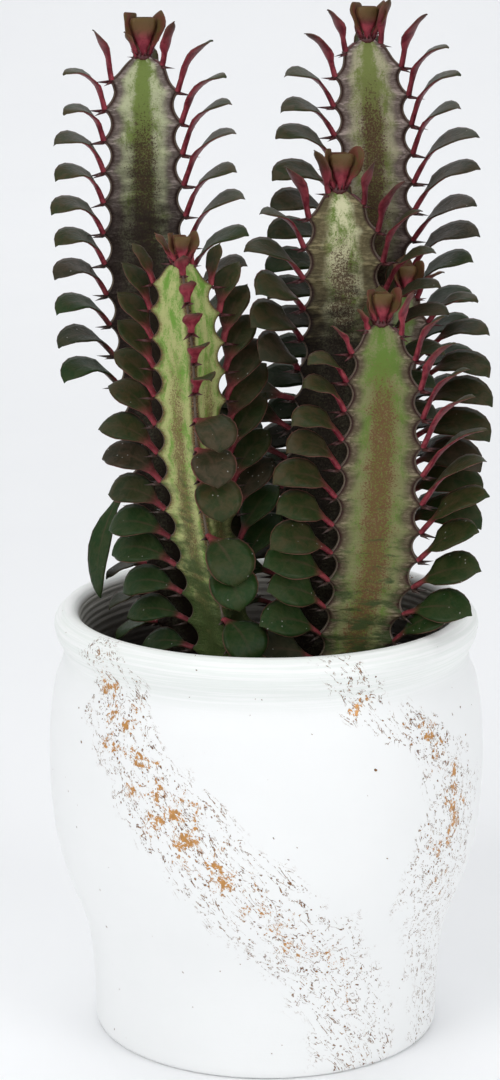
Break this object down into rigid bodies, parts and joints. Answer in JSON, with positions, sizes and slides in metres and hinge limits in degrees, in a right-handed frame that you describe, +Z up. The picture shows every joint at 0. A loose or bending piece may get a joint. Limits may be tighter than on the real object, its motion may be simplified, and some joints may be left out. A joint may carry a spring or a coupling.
{
  "type": "potted euphorbia",
  "caption": "Upright three-ribbed euphorbia shoots with spatulate red-olive leaves, rooted in soil in a white baluster-shaped ceramic pot with gold flecks.",
  "frame": {"origin": "centre of the pot's flat underside, on the surface that it stands on", "axes": "+Z up along the pot's axis, -Y towards the front, where the two short green shoots stand, +X to the right seen from the front"},
  "size_m": [0.1533, 0.1536, 0.353],
  "materials": {
    "pot": "satin",
    "soil": "matte",
    "stem_green": "satin",
    "stem_dark": "satin",
    "leaves": "satin",
    "young_leaves": "satin"
  },
  "bodies": {
    "root": {"crown_a": "young_leaves", "crown_b": "young_leaves", "crown_c": "young_leaves", "crown_d": "young_leaves", "crown_e": "young_leaves", "crown_f": "young_leaves", "leaves_a_left": "leaves", "leaves_a_rear": "leaves", "leaves_a_right": "leaves", "leaves_b_front": "leaves", "leaves_b_left": "leaves", "leaves_b_right": "leaves", "leaves_c_left": "leaves", "leaves_c_rear": "leaves", "leaves_c_right": "leaves", "leaves_d_left": "leaves", "leaves_d_rear": "leaves", "leaves_d_right": "leaves", "leaves_e_left": "leaves", "leaves_e_rear": "leaves", "leaves_e_right": "leaves", "leaves_f_left": "leaves", "leaves_f_rear": "leaves", "leaves_f_right": "leaves", "pot": "pot", "soil": "soil", "stem_a": "stem_dark", "stem_b": "stem_green", "stem_c": "stem_dark", "stem_d": "stem_dark", "stem_e": "stem_green", "stem_f": "stem_dark"}
  },
  "joints": []
}
